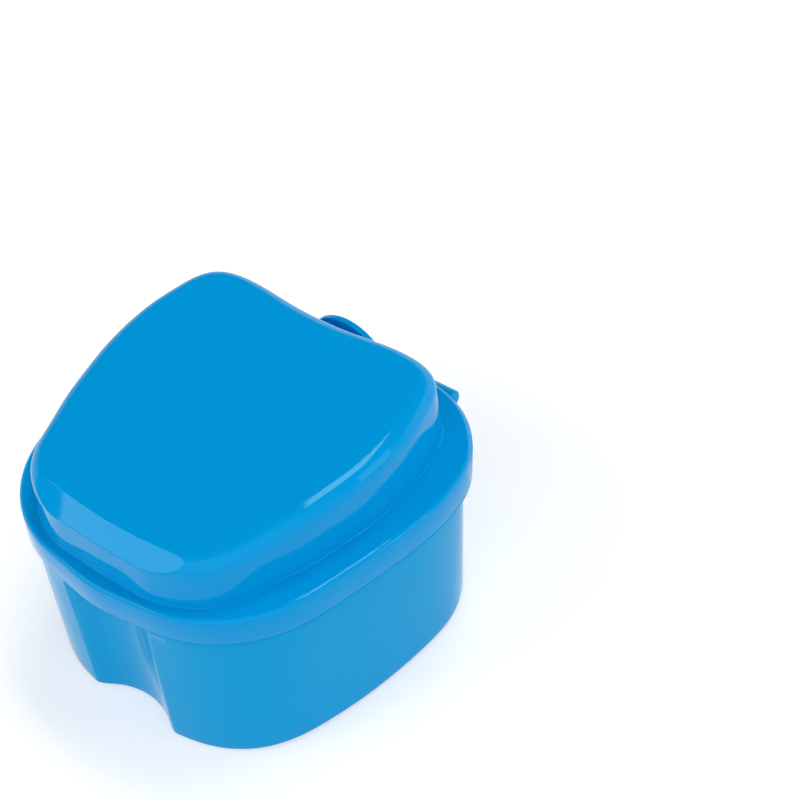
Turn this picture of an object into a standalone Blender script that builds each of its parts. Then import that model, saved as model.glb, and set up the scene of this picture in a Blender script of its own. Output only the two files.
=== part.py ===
# Denture case: a drafted tank with a finger flute, a hinged lid with a tooth-shaped dome,
# a hanging strainer basket and a hinge pin. Metres, +Z up, -Y is the side the lid opens from.
import math

import bmesh
import bpy
import numpy as np
from mathutils import Matrix, Vector

# Overall sizes
HALF_WIDTH = 0.0425
CLEARANCE = 0.0003
PLATE_TOP = 0.0416
PLATE_THICKNESS = 0.0018
WALL = 0.0016

# Plans in shares of HALF_WIDTH, right half from the front middle to the back middle
LID_PLAN_SHARES = (
    (0.000, -0.938), (0.195, -0.918), (0.395, -0.884), (0.585, -0.802), (0.740, -0.667),
    (0.847, -0.488), (0.903, -0.292), (0.947, -0.100), (0.981, 0.101), (1.000, 0.306),
    (0.990, 0.458), (0.955, 0.602), (0.879, 0.724), (0.781, 0.823), (0.650, 0.901), (0.472, 0.949),
    (0.243, 0.972), (0.000, 0.979),
)
BASE_PLAN_SHARES = (
    (0.000, -0.895), (0.236, -0.887), (0.387, -0.860), (0.529, -0.804), (0.650, -0.715),
    (0.754, -0.570), (0.819, -0.397), (0.862, -0.237), (0.893, -0.073), (0.914, 0.097),
    (0.925, 0.278), (0.914, 0.421), (0.872, 0.546), (0.796, 0.663), (0.698, 0.747), (0.565, 0.805),
    (0.282, 0.831), (0.000, 0.833),
)
DOME_PLAN_SHARES = (
    (0.000, -0.846), (0.164, -0.842), (0.303, -0.833), (0.420, -0.797), (0.530, -0.734),
    (0.623, -0.632), (0.684, -0.488), (0.746, -0.316), (0.793, -0.135), (0.828, 0.037),
    (0.841, 0.182), (0.840, 0.325), (0.826, 0.441), (0.798, 0.559), (0.756, 0.676), (0.684, 0.750),
    (0.573, 0.782), (0.435, 0.785), (0.292, 0.773), (0.135, 0.760), (0.000, 0.756),
)
LID_FRONT_Y = LID_PLAN_SHARES[0][1] * HALF_WIDTH
LID_BACK_Y = LID_PLAN_SHARES[-1][1] * HALF_WIDTH
DOME_FRONT_Y = DOME_PLAN_SHARES[0][1] * HALF_WIDTH
DOME_HALF_WIDTH = max(x for x, y in DOME_PLAN_SHARES) * HALF_WIDTH

# Skirt of the lid
SKIRT_THICKNESS = 0.0016
SKIRT_FLARE = 0.0003
SKIRT_BOTTOM = 0.0355
SKIRT_END_BOTTOM = 0.0401
SKIRT_RAMP_START_SHARE = 0.588
SKIRT_RAMP_END_SHARE = 0.682
SKIRT_RAMP_START = SKIRT_RAMP_START_SHARE * HALF_WIDTH
SKIRT_RAMP_END = SKIRT_RAMP_END_SHARE * HALF_WIDTH
EDGE_ROUND = 0.0006

# Dome of the lid
DOME_TOP_HEIGHT = 0.0541
DOME_TILT = 0.065
FRONT_FACET_DEPTH = 0.0039
DOME_FOLD_Y = DOME_FRONT_Y + FRONT_FACET_DEPTH
DOME_FRONT_SLOPE = 0.76
DOME_CROWN = 0.0003
DOME_DRAFT = 0.0004
DOME_FOOT_ROUND = 0.0014
DOME_TOP_ROUND = 0.0036
FACET_LEAST_SPAN = 0.0002
FOLD_LIMIT_SHARE = 0.975
ROUND_SHARES = (0.18, 0.36, 0.57, 0.78, 1.0)

# Upright half-disc tongue behind the dome
TONGUE_RADIUS = 0.0103
TONGUE_CENTRE_Z = 0.0396
TONGUE_INSET = 0.0040
TONGUE_CENTRE_Y = LID_BACK_Y - TONGUE_INSET
TONGUE_THICKNESS = 0.0014
TONGUE_ROOT_DEPTH = 0.0010
TONGUE_EDGE = 0.0003

# Tank
FLOOR_THICKNESS = 0.0018
BASE_ROUND = 0.0012
FLANGE_BOTTOM = 0.0339
FLANGE_TOP = 0.0351
FLANGE_INSET = 0.0005
FLANGE_UNDERCUT = 0.0005
BODY_INSET_FRONT = 0.0009
BODY_INSET_BACK = 0.0025
NECK_THICKNESS = 0.0013
NECK_TAPER = 0.0001
RIM_ROUND = 0.0004
BACK_FLAT_BLEND = 0.0010
SEAT_HEIGHT = 0.0306
SEAT_WIDTH = 0.0013
SEAT_TAPER_HEIGHT = 0.0040
INSIDE_ROUND = 0.0024

# Finger flute in the front of the tank
FLUTE_RADIUS = 0.0158
FLUTE_DEPTH = 0.0060
FLUTE_DEEPEST_Y = LID_FRONT_Y + FLUTE_DEPTH
FLUTE_EDGE_BLEND = 0.0017
FLUTE_EDGE_BLEND_TOP = 0.0022
FLUTE_BLEND_START = 0.0195
FLUTE_FACET_SINK = 0.00022
FLUTE_FACET_TURN = math.radians(19.0)

# Hinge
HINGE_INSET = 0.0007
HINGE_Y = LID_BACK_Y - HINGE_INSET
HINGE_Z = 0.0375
KNUCKLE_RADIUS = 0.0020
PIN_RADIUS = 0.0009
PIN_RUNNING_CLEARANCE = 0.00008
BORE_RADIUS = PIN_RADIUS + PIN_RUNNING_CLEARANCE
PIN_CHAMFER = 0.0002
BARREL_LENGTH_SHARE = 0.405
BARREL_HALF_LENGTH = BARREL_LENGTH_SHARE * HALF_WIDTH
BARREL_START_DEG = 54.0
BARREL_TURN_DEG = 234.0
LUG_WIDTH = 0.0073
LUG_OUTER_X = BARREL_HALF_LENGTH + CLEARANCE + LUG_WIDTH
LUG_END_WALL = 0.0010
BACK_GAP = 0.0004
BACK_FLAT_Y = HINGE_Y - KNUCKLE_RADIUS - BACK_GAP
LUG_ROOT_DEPTH = 0.0007
LUG_ROOT_Y = BACK_FLAT_Y - LUG_ROOT_DEPTH
LUG_GUSSET_DROP = 0.0036
LUG_GUSSET_REACH = 0.0004
LUG_GUSSET_Y = BACK_FLAT_Y + LUG_GUSSET_REACH
LUG_EDGE = 0.0004
LUG_START_DEG = -45.0
LUG_TURN_DEG = 135.0
WEB_REACH = 0.0006
ORIGIN_SHIFT_Y = (HINGE_Y + KNUCKLE_RADIUS + LID_FRONT_Y) / 2

# Strainer basket
BASKET_WALL = 0.0012
BASKET_FLOOR_BOTTOM = 0.0090
BASKET_FLOOR_THICKNESS = 0.0014
BASKET_GAP_TOP = 0.0006
BASKET_GAP_BOTTOM = 0.0022
BASKET_CORNER = 0.0022
LIP_THICKNESS = 0.0014
LIP_ROUND = 0.0003
GRIP_WIDTH = 0.0160
GRIP_HEIGHT = 0.0050
GRIP_THICKNESS = 0.0016
GRIP_Y = 0.0100
GRIP_SINK = 0.0010
GRIP_EDGE = 0.0003
GRIP_SHAPE_POWER = 0.5
SLOT_WIDTH = 0.0024
SLOT_PITCH_X = 0.0056
SLOT_PITCH_Y = 0.01485
SLOT_LENGTH = 0.0118
SLOT_COUNT_X = 9
SLOT_COUNT_Y = 4
SLOT_LIMIT = 0.0052
WALL_SLOT_HEIGHT = 0.0110
WALL_SLOT_MIDDLE_Z = 0.0215
WALL_SLOT_ANGLES_DEG = (28, 44, 62, 80, 98, 116, 134, 150)
CUT_OVERSHOOT = 0.0040

# Counts of sides
LID_SIDES = 108
TANK_SIDES_BACK = 76
TANK_SIDES_FRONT = 30
FRONT_HALF_ANGLE = math.radians(23.0)
ROUND_SIDES = 32

# Numbers of the geometry's own working
ANGLE_STEP = 1e-4
FACET_SAMPLES = 300
TINY = 1e-9
FAR_SHARE = 4.0
BACK_COSINE_LIMIT = 0.2
WELD_DISTANCE = 1e-6
SMOOTH_ANGLE_DEG = 35.0
CHAMFER_ANGLE_DEG = 60.0


def plan_radius(shares):
    """Periodic cubic through the plan's points, as radius over the angle from +Y."""
    half = [(x * HALF_WIDTH, y * HALF_WIDTH) for x, y in shares]
    left = [(-x, y) for x, y in half[-2:0:-1]]
    points = np.array(half + left)
    angle = np.unwrap(np.arctan2(points[:, 0], points[:, 1]))
    radius = np.hypot(points[:, 0], points[:, 1])
    order = np.argsort(angle % (2 * math.pi))
    knots = (angle % (2 * math.pi))[order]
    values = radius[order]
    count = len(knots)
    gaps = np.diff(np.append(knots, knots[0] + 2 * math.pi))
    matrix = np.zeros((count, count))
    right = np.zeros(count)
    for i in range(count):
        before = gaps[i - 1]
        after = gaps[i]
        following = (i + 1) % count
        matrix[i, i - 1] += before
        matrix[i, i] += 2 * (before + after)
        matrix[i, following] += after
        rise_after = (values[following] - values[i]) / after
        rise_before = (values[i] - values[i - 1]) / before
        right[i] = 6 * (rise_after - rise_before)
    bends = np.linalg.solve(matrix, right)

    def radius_at(theta):
        theta = np.asarray(theta) % (2 * math.pi)
        turned = np.where(theta < knots[0], theta + 2 * math.pi, theta)
        index = np.searchsorted(knots, turned, side="right") - 1
        following = (index + 1) % count
        gap = gaps[index]
        along = turned - knots[index]
        left_part = gap - along
        return (
            (bends[index] * left_part ** 3 + bends[following] * along ** 3) / (6 * gap)
            + (values[index] / gap - bends[index] * gap / 6) * left_part
            + (values[following] / gap - bends[following] * gap / 6) * along
        )

    return radius_at


def inset_plan(radius, theta, inset):
    """Radius of the plan moved inwards by the same distance all round."""
    here = radius(theta)
    slope = (radius(theta + ANGLE_STEP) - radius(theta - ANGLE_STEP)) / (2 * ANGLE_STEP)
    return here - inset * np.sqrt(here ** 2 + slope ** 2) / here


def rounded_min(first, second, blend):
    overlap = np.maximum(blend - np.abs(first - second), 0.0) / blend
    return np.minimum(first, second) - overlap ** 2 * blend / 4


def flute_radius(theta, growth):
    """Distance from the middle to the flute's cylinder, grown by the wall's thickness."""
    radius = FLUTE_RADIUS + growth
    centre = -FLUTE_DEEPEST_Y + FLUTE_RADIUS
    away = np.asarray(theta) - math.pi
    side = centre * np.sin(away)
    inside = radius ** 2 - side ** 2
    far = FAR_SHARE * HALF_WIDTH
    reach = centre * np.cos(away) - np.sqrt(np.maximum(inside, 0.0))
    return np.where((inside > 0) & (np.cos(away) > 0), reach, far)


def back_flat_radius(theta, inset):
    cosine = np.cos(theta)
    flat = (BACK_FLAT_Y - inset) / np.maximum(cosine, BACK_COSINE_LIMIT)
    return np.where(cosine > BACK_COSINE_LIMIT, flat, FAR_SHARE * HALF_WIDTH)


def flute_blend(height):
    share = (height - FLUTE_BLEND_START) / (FLANGE_BOTTOM - FLUTE_BLEND_START)
    share = min(max(share, 0.0), 1.0)
    return FLUTE_EDGE_BLEND + share * (FLUTE_EDGE_BLEND_TOP - FLUTE_EDGE_BLEND)


def flute_facet_radius(theta, fluted, height):
    """Slim flat on each edge of the flute, which widens towards the flange."""
    share = (height - FLUTE_BLEND_START) / (FLANGE_BOTTOM - FLUTE_BLEND_START)
    reach = np.full_like(fluted, FAR_SHARE * HALF_WIDTH)
    if share <= 0:
        return reach
    away = theta - math.pi
    for side in (-1, 1):
        along = np.cos(away - side * FLUTE_FACET_TURN)
        near = (side * away < 0) & (np.abs(away) < FRONT_HALF_ANGLE)
        edge = np.max(fluted * along, where=near, initial=0.0)
        flat = (edge - share * FLUTE_FACET_SINK) / np.maximum(along, BACK_COSINE_LIMIT)
        reach = np.where(near, np.minimum(reach, flat), reach)
    return reach


lid_plan = plan_radius(LID_PLAN_SHARES)
base_plan = plan_radius(BASE_PLAN_SHARES)
dome_plan = plan_radius(DOME_PLAN_SHARES)


def body_radius(theta, height, inset):
    """Drafted wall of the tank between its base plan and its plan under the flange."""
    share = height / FLANGE_BOTTOM
    low = inset_plan(base_plan, theta, inset)
    towards_back = (1 + np.cos(theta)) / 2
    top_inset = BODY_INSET_FRONT + towards_back * (BODY_INSET_BACK - BODY_INSET_FRONT)
    high = inset_plan(lid_plan, theta, inset + top_inset)
    return low + share * (high - low)


def tank_radius(theta, height, inset, upper_inset=None):
    """Tank wall with its flute and its flat back; upper_inset counts from the lid's plan."""
    if upper_inset is None:
        wall = body_radius(theta, height, inset)
    else:
        wall = inset_plan(lid_plan, theta, upper_inset)
    wall = rounded_min(wall, back_flat_radius(theta, inset), BACK_FLAT_BLEND)
    fluted = rounded_min(wall, flute_radius(theta, inset), flute_blend(height))
    return np.minimum(fluted, flute_facet_radius(theta, fluted, height))


def ring(theta, radius, height):
    height = np.zeros_like(theta) + height
    return np.stack([radius * np.sin(theta), radius * np.cos(theta), height], axis=1)


def link(obj, collection):
    collection.objects.link(obj)
    return obj


def loft(name, rings, collection, first_middle=None, last_middle=None):
    """Skin over rings of equal counts, closed at each end by a middle point or to a loop."""
    mesh = bpy.data.meshes.new(name)
    bm = bmesh.new()
    loops = [[bm.verts.new(tuple(point)) for point in points] for points in rings]
    count = len(loops[0])
    for lower, upper in zip(loops[:-1], loops[1:]):
        for i in range(count):
            j = (i + 1) % count
            bm.faces.new((lower[i], lower[j], upper[j], upper[i]))
    for loop, middle, flip in ((loops[0], first_middle, True), (loops[-1], last_middle, False)):
        if middle is None:
            continue
        centre = bm.verts.new(tuple(middle))
        for i in range(count):
            j = (i + 1) % count
            face = (loop[j], loop[i], centre) if flip else (loop[i], loop[j], centre)
            bm.faces.new(face)
    bmesh.ops.recalc_face_normals(bm, faces=bm.faces)
    bm.to_mesh(mesh)
    bm.free()
    return link(bpy.data.objects.new(name, mesh), collection)


def flat_outline(name, points, thickness, collection, bevel=0.0):
    """Flat outline as a filled curve, extruded to both sides of its plane."""
    curve = bpy.data.curves.new(name, "CURVE")
    curve.dimensions = "2D"
    curve.fill_mode = "BOTH"
    curve.extrude = thickness / 2 - bevel
    curve.bevel_depth = bevel
    curve.bevel_resolution = 1
    curve.offset = -bevel
    spline = curve.splines.new("POLY")
    spline.points.add(len(points) - 1)
    for point, (x, y) in zip(spline.points, points):
        point.co = (x, y, 0.0, 1.0)
    spline.use_cyclic_u = True
    source = link(bpy.data.objects.new(name, curve), collection)
    graph = bpy.context.evaluated_depsgraph_get()
    mesh = bpy.data.meshes.new_from_object(source.evaluated_get(graph))
    bm = bmesh.new()
    bm.from_mesh(mesh)
    bmesh.ops.remove_doubles(bm, verts=bm.verts, dist=WELD_DISTANCE)
    bmesh.ops.recalc_face_normals(bm, faces=bm.faces)
    bm.to_mesh(mesh)
    bm.free()
    bpy.data.objects.remove(source)
    return link(bpy.data.objects.new(name, mesh), collection)


def place(obj, matrix):
    obj.data.transform(matrix)
    obj.data.update()
    return obj


def across_x(middle_x):
    """Turns a flat outline drawn in (y, z) so that its thickness runs along X."""
    return Matrix((
        (0.0, 0.0, 1.0, middle_x),
        (1.0, 0.0, 0.0, 0.0),
        (0.0, 1.0, 0.0, 0.0),
        (0.0, 0.0, 0.0, 1.0),
    ))


def rod_along_x(name, radius, x_from, x_to, collection):
    bpy.ops.mesh.primitive_cylinder_add(
        vertices=ROUND_SIDES, radius=radius, depth=x_to - x_from,
        location=((x_from + x_to) / 2, HINGE_Y, HINGE_Z), rotation=(0.0, math.pi / 2, 0.0),
    )
    obj = bpy.context.object
    obj.name = name
    obj.data.name = name
    for owner in list(obj.users_collection):
        owner.objects.unlink(obj)
    link(obj, collection)
    obj.data.transform(obj.matrix_world)
    obj.matrix_world = Matrix.Identity(4)
    return obj


def block(name, size, location, collection, turn_z=0.0):
    bpy.ops.mesh.primitive_cube_add(size=1.0)
    obj = bpy.context.object
    obj.name = name
    obj.data.name = name
    for owner in list(obj.users_collection):
        owner.objects.unlink(obj)
    link(obj, collection)
    turn = Matrix.Rotation(turn_z, 4, "Z")
    obj.data.transform(Matrix.Translation(location) @ turn @ Matrix.Diagonal((*size, 1.0)))
    return obj


def joined(name, objects, collection):
    """One mesh of several separate closed bodies."""
    mesh = bpy.data.meshes.new(name)
    bm = bmesh.new()
    for obj in objects:
        bm.from_mesh(obj.data)
        bpy.data.objects.remove(obj)
    bm.to_mesh(mesh)
    bm.free()
    return link(bpy.data.objects.new(name, mesh), collection)


def boolean(target, tool, operation):
    modifier = target.modifiers.new(tool.name, "BOOLEAN")
    modifier.operation = operation
    modifier.solver = "EXACT"
    modifier.object = tool
    tool.hide_render = True
    tool.display_type = "WIRE"


def bake(obj):
    graph = bpy.context.evaluated_depsgraph_get()
    mesh = bpy.data.meshes.new_from_object(obj.evaluated_get(graph))
    obj.modifiers.clear()
    obj.data = mesh
    mesh.name = obj.name


def finish(obj, material):
    bake(obj)
    obj.data.materials.clear()
    obj.data.materials.append(material)
    obj.data.shade_smooth()
    obj.data.set_sharp_from_angle(angle=math.radians(SMOOTH_ANGLE_DEG))


def material(name, colour, roughness, metallic=0.0):
    made = bpy.data.materials.new(name)
    made.use_nodes = True
    shader = made.node_tree.nodes["Principled BSDF"]
    shader.inputs["Base Color"].default_value = (*colour, 1.0)
    shader.inputs["Roughness"].default_value = roughness
    shader.inputs["Metallic"].default_value = metallic
    return made


def even_angles(count):
    return np.arange(count) * 2 * math.pi / count


def tank_angles():
    """Angles round the tank, closer together across the flute."""
    front = np.linspace(math.pi - FRONT_HALF_ANGLE, math.pi + FRONT_HALF_ANGLE, TANK_SIDES_FRONT + 1)
    rest = 2 * math.pi - 2 * FRONT_HALF_ANGLE
    back = front[-1] + rest * np.arange(1, TANK_SIDES_BACK) / TANK_SIDES_BACK
    return np.concatenate([front, back])


def dome_top(x, y):
    """Height of the dome's top: a tilted plane, a little crowned across."""
    return DOME_TOP_HEIGHT + DOME_TILT * y - DOME_CROWN * (x / DOME_HALF_WIDTH) ** 2


def front_facet(y):
    """Height of the slanting plane that cuts the front of the rounded dome."""
    at_fold = DOME_TOP_HEIGHT + DOME_TILT * DOME_FOLD_Y
    return at_fold + DOME_FRONT_SLOPE * (y - DOME_FOLD_Y)


def top_at(radius, theta):
    return dome_top(radius * np.sin(theta), radius * np.cos(theta))


def dome_profile(theta, inset, drop, turn_round):
    """Radius and height along the dome's skin, before the facet cuts it, by distance outwards."""
    edge = inset_plan(dome_plan, theta, inset)
    probe = edge - turn_round
    near = probe * (1 - ANGLE_STEP)
    slope = (top_at(near, theta) - top_at(probe, theta)) / (probe - near)
    start = np.arctan(slope)
    flat = edge - turn_round * (1 - np.sin(start))
    end = flat + turn_round * (math.pi / 2 - start)

    def point_at(along):
        angle = start + np.maximum(along - flat, 0.0) / turn_round
        level = np.minimum(along, flat)
        radius = level + turn_round * (np.sin(angle) - np.sin(start))
        fall = turn_round * (np.cos(start) - np.cos(angle))
        return radius, top_at(level, theta) - fall - drop

    steepest = np.arctan(DOME_FRONT_SLOPE * np.maximum(-np.cos(theta), 0.0))
    touch = flat + turn_round * np.maximum(steepest - start, 0.0)
    return point_at, flat, touch, end


def facet_span(theta, drop, point_at, flat, touch, end):
    """Where the facet begins and ends along the skin, or the place nearest to it."""
    shares = np.linspace(0.0, 1.0, FACET_SAMPLES + 1)[:, None]
    along = flat / 2 + shares * (end - flat / 2)
    radius, height = point_at(along)
    above = height + drop - front_facet(radius * np.cos(theta))
    cut = above > 0
    columns = np.arange(len(theta))

    def crossing(row, other_row):
        inside = above[row, columns]
        share = inside / np.maximum(inside - above[other_row, columns], TINY)
        return along[row, columns] + share * (along[other_row, columns] - along[row, columns])

    first = np.argmax(cut, axis=0)
    last = FACET_SAMPLES - np.argmax(cut[::-1], axis=0)
    present = cut.any(axis=0)
    begin = np.where(present, crossing(first, np.maximum(first - 1, 0)), touch)
    finish = np.where(present, crossing(last, np.minimum(last + 1, FACET_SAMPLES)), touch)
    middle = (begin + finish) / 2
    half = np.maximum(finish - begin, FACET_LEAST_SPAN) / 2
    return middle - half, np.minimum(middle + half, end - FACET_LEAST_SPAN)


def dome_rings(theta, inset, drop, turn_round, cap_shares):
    """Rings of the dome's skin from its top to its edge, inset and dropped for the inside."""
    point_at, flat, touch, end = dome_profile(theta, inset, drop, turn_round)
    begin, finish = facet_span(theta, drop, point_at, flat, touch, end)
    cap = np.minimum(begin * FOLD_LIMIT_SHARE, flat)
    distances = [cap * share for share in cap_shares]
    distances += [(cap + begin) / 2, begin, finish]
    distances += [finish + (end - finish) * share for share in ROUND_SHARES]
    rings = []
    for along in distances:
        radius, height = point_at(along)
        facet = front_facet(radius * np.cos(theta)) - drop
        rings.append(ring(theta, radius, np.minimum(height, facet)))
    return rings


def make_lid(collection, cutters, shell_material):
    theta = even_angles(LID_SIDES)
    cap_shares = (0.1, 0.4, 0.7, 1.0)
    rings = dome_rings(theta, 0.0, 0.0, DOME_TOP_ROUND, cap_shares)
    foot = -DOME_DRAFT
    for angle_share in (0.0, 0.4, 0.7, 1.0):
        angle = angle_share * math.pi / 2
        outward = foot - DOME_FOOT_ROUND * (1 - math.cos(angle))
        height = PLATE_TOP + DOME_FOOT_ROUND * (1 - math.sin(angle))
        rings.append(ring(theta, inset_plan(dome_plan, theta, outward), height))
    for angle_share in (0.0, 0.35, 0.7, 1.0):
        angle = angle_share * math.pi / 2
        inset = SKIRT_FLARE + EDGE_ROUND * (1 - math.sin(angle))
        height = PLATE_TOP - EDGE_ROUND * (1 - math.cos(angle))
        rings.append(ring(theta, inset_plan(lid_plan, theta, inset), height))
    outer = lid_plan(theta)
    back = outer * np.cos(theta)
    share = np.clip((back - SKIRT_RAMP_START) / (SKIRT_RAMP_END - SKIRT_RAMP_START), 0.0, 1.0)
    bottom = SKIRT_BOTTOM + (share ** 2 * (3 - 2 * share)) * (SKIRT_END_BOTTOM - SKIRT_BOTTOM)
    rings.append(ring(theta, outer, bottom))
    inner = inset_plan(lid_plan, theta, SKIRT_THICKNESS)
    rings.append(ring(theta, inner, bottom))
    under = PLATE_TOP - PLATE_THICKNESS
    rings.append(ring(theta, inner, under))
    inside_foot = WALL - DOME_DRAFT
    rings.append(ring(theta, inset_plan(dome_plan, theta, inside_foot - RIM_ROUND), under))
    inside = dome_rings(theta, WALL, WALL, DOME_TOP_ROUND / 2, cap_shares)
    rings.append(ring(theta, inset_plan(dome_plan, theta, inside_foot), under + RIM_ROUND))
    rings.extend(reversed(inside))
    outside_middle = (0.0, 0.0, float(dome_top(0.0, 0.0)))
    inside_middle = (0.0, 0.0, float(dome_top(0.0, 0.0)) - WALL)
    lid = loft("lid", rings, collection, outside_middle, inside_middle)

    root = PLATE_TOP - TONGUE_ROOT_DEPTH - TONGUE_CENTRE_Z
    start = math.asin(root / TONGUE_RADIUS)
    half_disc = []
    for i in range(ROUND_SIDES + 1):
        angle = start + (math.pi - 2 * start) * i / ROUND_SIDES
        half_disc.append((TONGUE_RADIUS * math.cos(angle), TONGUE_RADIUS * math.sin(angle)))
    tongue = flat_outline("tongue", half_disc, TONGUE_THICKNESS, cutters, TONGUE_EDGE)
    upright = Matrix.Rotation(math.pi / 2, 4, "X")
    place(tongue, Matrix.Translation((0.0, TONGUE_CENTRE_Y, TONGUE_CENTRE_Z)) @ upright)

    web_top = PLATE_TOP - PLATE_THICKNESS + WEB_REACH
    barrel_points = [(HINGE_Y - KNUCKLE_RADIUS, web_top), (HINGE_Y, web_top)]
    for i in range(ROUND_SIDES + 1):
        angle = math.radians(BARREL_START_DEG - BARREL_TURN_DEG * i / ROUND_SIDES)
        barrel_points.append((
            HINGE_Y + KNUCKLE_RADIUS * math.cos(angle),
            HINGE_Z + KNUCKLE_RADIUS * math.sin(angle),
        ))
    barrel = flat_outline("barrel", barrel_points, 2 * BARREL_HALF_LENGTH, cutters)
    place(barrel, across_x(0.0))
    bore_end = BARREL_HALF_LENGTH + CUT_OVERSHOOT
    bore = rod_along_x("barrel_bore", BORE_RADIUS, -bore_end, bore_end, cutters)
    boolean(lid, tongue, "UNION")
    boolean(lid, barrel, "UNION")
    boolean(lid, bore, "DIFFERENCE")
    finish(lid, shell_material)
    return lid


def make_tank(collection, cutters, shell_material):
    theta = tank_angles()
    neck_inset = SKIRT_THICKNESS + CLEARANCE
    inner_neck = neck_inset + NECK_THICKNESS
    rim_top = PLATE_TOP - PLATE_THICKNESS - CLEARANCE
    rings = []
    for angle_share in (0.0, 0.5, 1.0):
        angle = angle_share * math.pi / 2
        inset = BASE_ROUND * (1 - math.sin(angle))
        height = BASE_ROUND * (1 - math.cos(angle))
        rings.append(ring(theta, tank_radius(theta, height, inset), height))
    for height in (FLUTE_BLEND_START, (FLUTE_BLEND_START + FLANGE_BOTTOM) / 2):
        rings.append(ring(theta, tank_radius(theta, height, 0.0), height))
    under_flange = FLANGE_BOTTOM - FLANGE_UNDERCUT
    rings.append(ring(theta, tank_radius(theta, under_flange, 0.0), under_flange))
    flange = tank_radius(theta, FLANGE_BOTTOM, 0.0, FLANGE_INSET)
    rings.append(ring(theta, flange, FLANGE_BOTTOM))
    rings.append(ring(theta, flange, FLANGE_TOP))
    neck = tank_radius(theta, FLANGE_TOP, 0.0, neck_inset)
    neck = np.minimum(neck, flange - NECK_TAPER)
    rings.append(ring(theta, neck, FLANGE_TOP))
    rings.append(ring(theta, neck - NECK_TAPER, rim_top - RIM_ROUND))
    rings.append(ring(theta, neck - NECK_TAPER - RIM_ROUND, rim_top))
    upper_inside = tank_radius(theta, rim_top, NECK_THICKNESS, inner_neck)
    rings.append(ring(theta, upper_inside + RIM_ROUND, rim_top))
    rings.append(ring(theta, upper_inside, rim_top - RIM_ROUND))
    rings.append(ring(theta, upper_inside, SEAT_HEIGHT))
    seat = upper_inside - SEAT_WIDTH
    rings.append(ring(theta, seat, SEAT_HEIGHT))
    below = SEAT_HEIGHT - SEAT_TAPER_HEIGHT / 4
    rings.append(ring(theta, seat, below))
    for height in (SEAT_HEIGHT - SEAT_TAPER_HEIGHT, FLUTE_BLEND_START):
        rings.append(ring(theta, tank_radius(theta, height, WALL), height))
    for angle_share in (0.0, 0.5, 1.0):
        angle = angle_share * math.pi / 2
        inset = WALL + INSIDE_ROUND * (1 - math.cos(angle))
        height = FLOOR_THICKNESS + INSIDE_ROUND * (1 - math.sin(angle))
        rings.append(ring(theta, tank_radius(theta, height, inset), height))
    tank = loft("tank", rings, collection, (0.0, 0.0, 0.0), (0.0, 0.0, FLOOR_THICKNESS))

    lug_points = [(LUG_ROOT_Y, HINGE_Z - LUG_GUSSET_DROP), (LUG_GUSSET_Y, HINGE_Z - LUG_GUSSET_DROP)]
    for i in range(ROUND_SIDES // 2 + 1):
        angle = math.radians(LUG_START_DEG + LUG_TURN_DEG * i / (ROUND_SIDES // 2))
        lug_points.append((
            HINGE_Y + KNUCKLE_RADIUS * math.cos(angle),
            HINGE_Z + KNUCKLE_RADIUS * math.sin(angle),
        ))
    lug_points.append((LUG_ROOT_Y, HINGE_Z + KNUCKLE_RADIUS))
    lug_inner_x = BARREL_HALF_LENGTH + CLEARANCE
    lugs = []
    for side in (-1, 1):
        lug = flat_outline("lug", lug_points, LUG_OUTER_X - lug_inner_x, cutters, LUG_EDGE)
        lugs.append(place(lug, across_x(side * (LUG_OUTER_X + lug_inner_x) / 2)))
    lug_pair = joined("lug_pair", lugs, cutters)
    bore = rod_along_x(
        "lug_bore", BORE_RADIUS, -LUG_OUTER_X - CUT_OVERSHOOT, LUG_OUTER_X - LUG_END_WALL, cutters,
    )
    boolean(tank, lug_pair, "UNION")
    boolean(tank, bore, "DIFFERENCE")
    finish(tank, shell_material)
    return tank


def basket_radius(theta, height, inset):
    share = min(max(height / SEAT_HEIGHT, 0.0), 1.0)
    gap = BASKET_GAP_BOTTOM + share * (BASKET_GAP_TOP - BASKET_GAP_BOTTOM)
    neck = SKIRT_THICKNESS + CLEARANCE + NECK_THICKNESS
    seat = tank_radius(theta, SEAT_HEIGHT, NECK_THICKNESS, neck) - SEAT_WIDTH
    wall = tank_radius(theta, height, WALL + gap + inset)
    return np.minimum(wall, seat - CLEARANCE - inset)


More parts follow.
